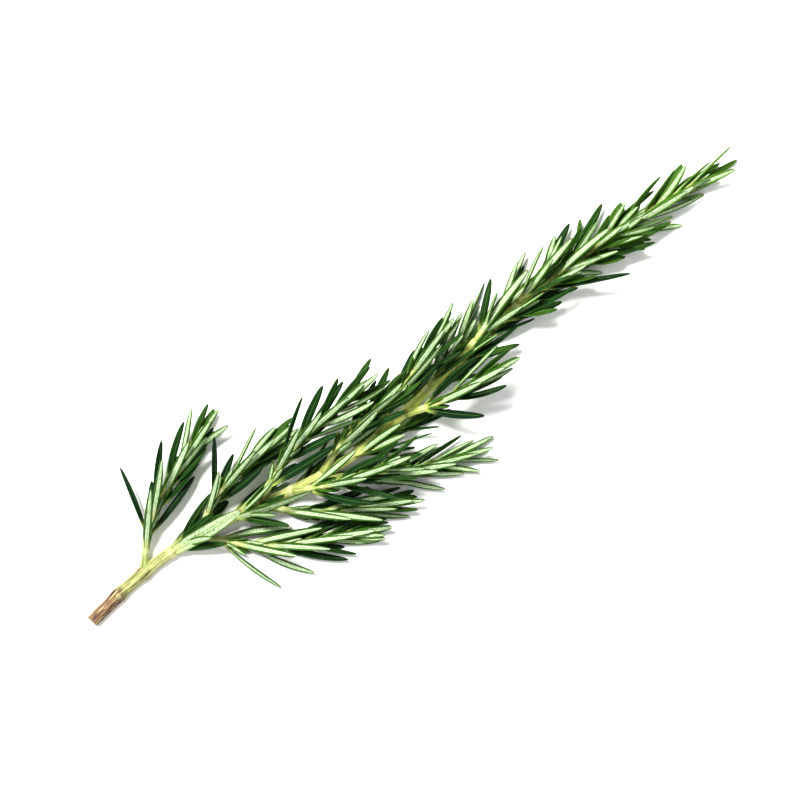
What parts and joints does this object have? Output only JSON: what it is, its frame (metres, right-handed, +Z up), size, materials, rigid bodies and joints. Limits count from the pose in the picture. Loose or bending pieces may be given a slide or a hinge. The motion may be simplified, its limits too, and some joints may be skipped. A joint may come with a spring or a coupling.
{
  "type": "rosemary sprig",
  "caption": "Cut rosemary sprig lying flat: bare woody base with its cut end, leafy main stem to the growing tip, and leafy side shoots; a cooking or garnish herb.",
  "frame": {"origin": "on the surface that the sprig lies on, under the flattened underside of the woody base, 10 mm from the cut end", "axes": "+X from the cut end towards the growing tip, +Z up from the surface the sprig lies on"},
  "size_m": [0.248, 0.0695, 0.0282],
  "materials": {
    "bark": "rough peeling bark, ochre with purple-brown grooves",
    "main_leaf": "satin wrinkled green leaf, pale felt underside, yellow-green stem",
    "side_leaf": "satin wrinkled green leaf, pale felt underside, pale green stem"
  },
  "bodies": {
    "root": {"woody_base": "bark", "main_leafy_shoot": "main_leaf", "side_shoot_1": "side_leaf", "side_shoot_2": "side_leaf", "side_shoot_3": "side_leaf", "side_shoot_4": "side_leaf", "side_shoot_5": "side_leaf", "side_shoot_6": "side_leaf", "side_shoot_7": "side_leaf", "side_shoot_8": "side_leaf", "side_shoot_9": "side_leaf", "side_shoot_10": "side_leaf"}
  },
  "joints": []
}
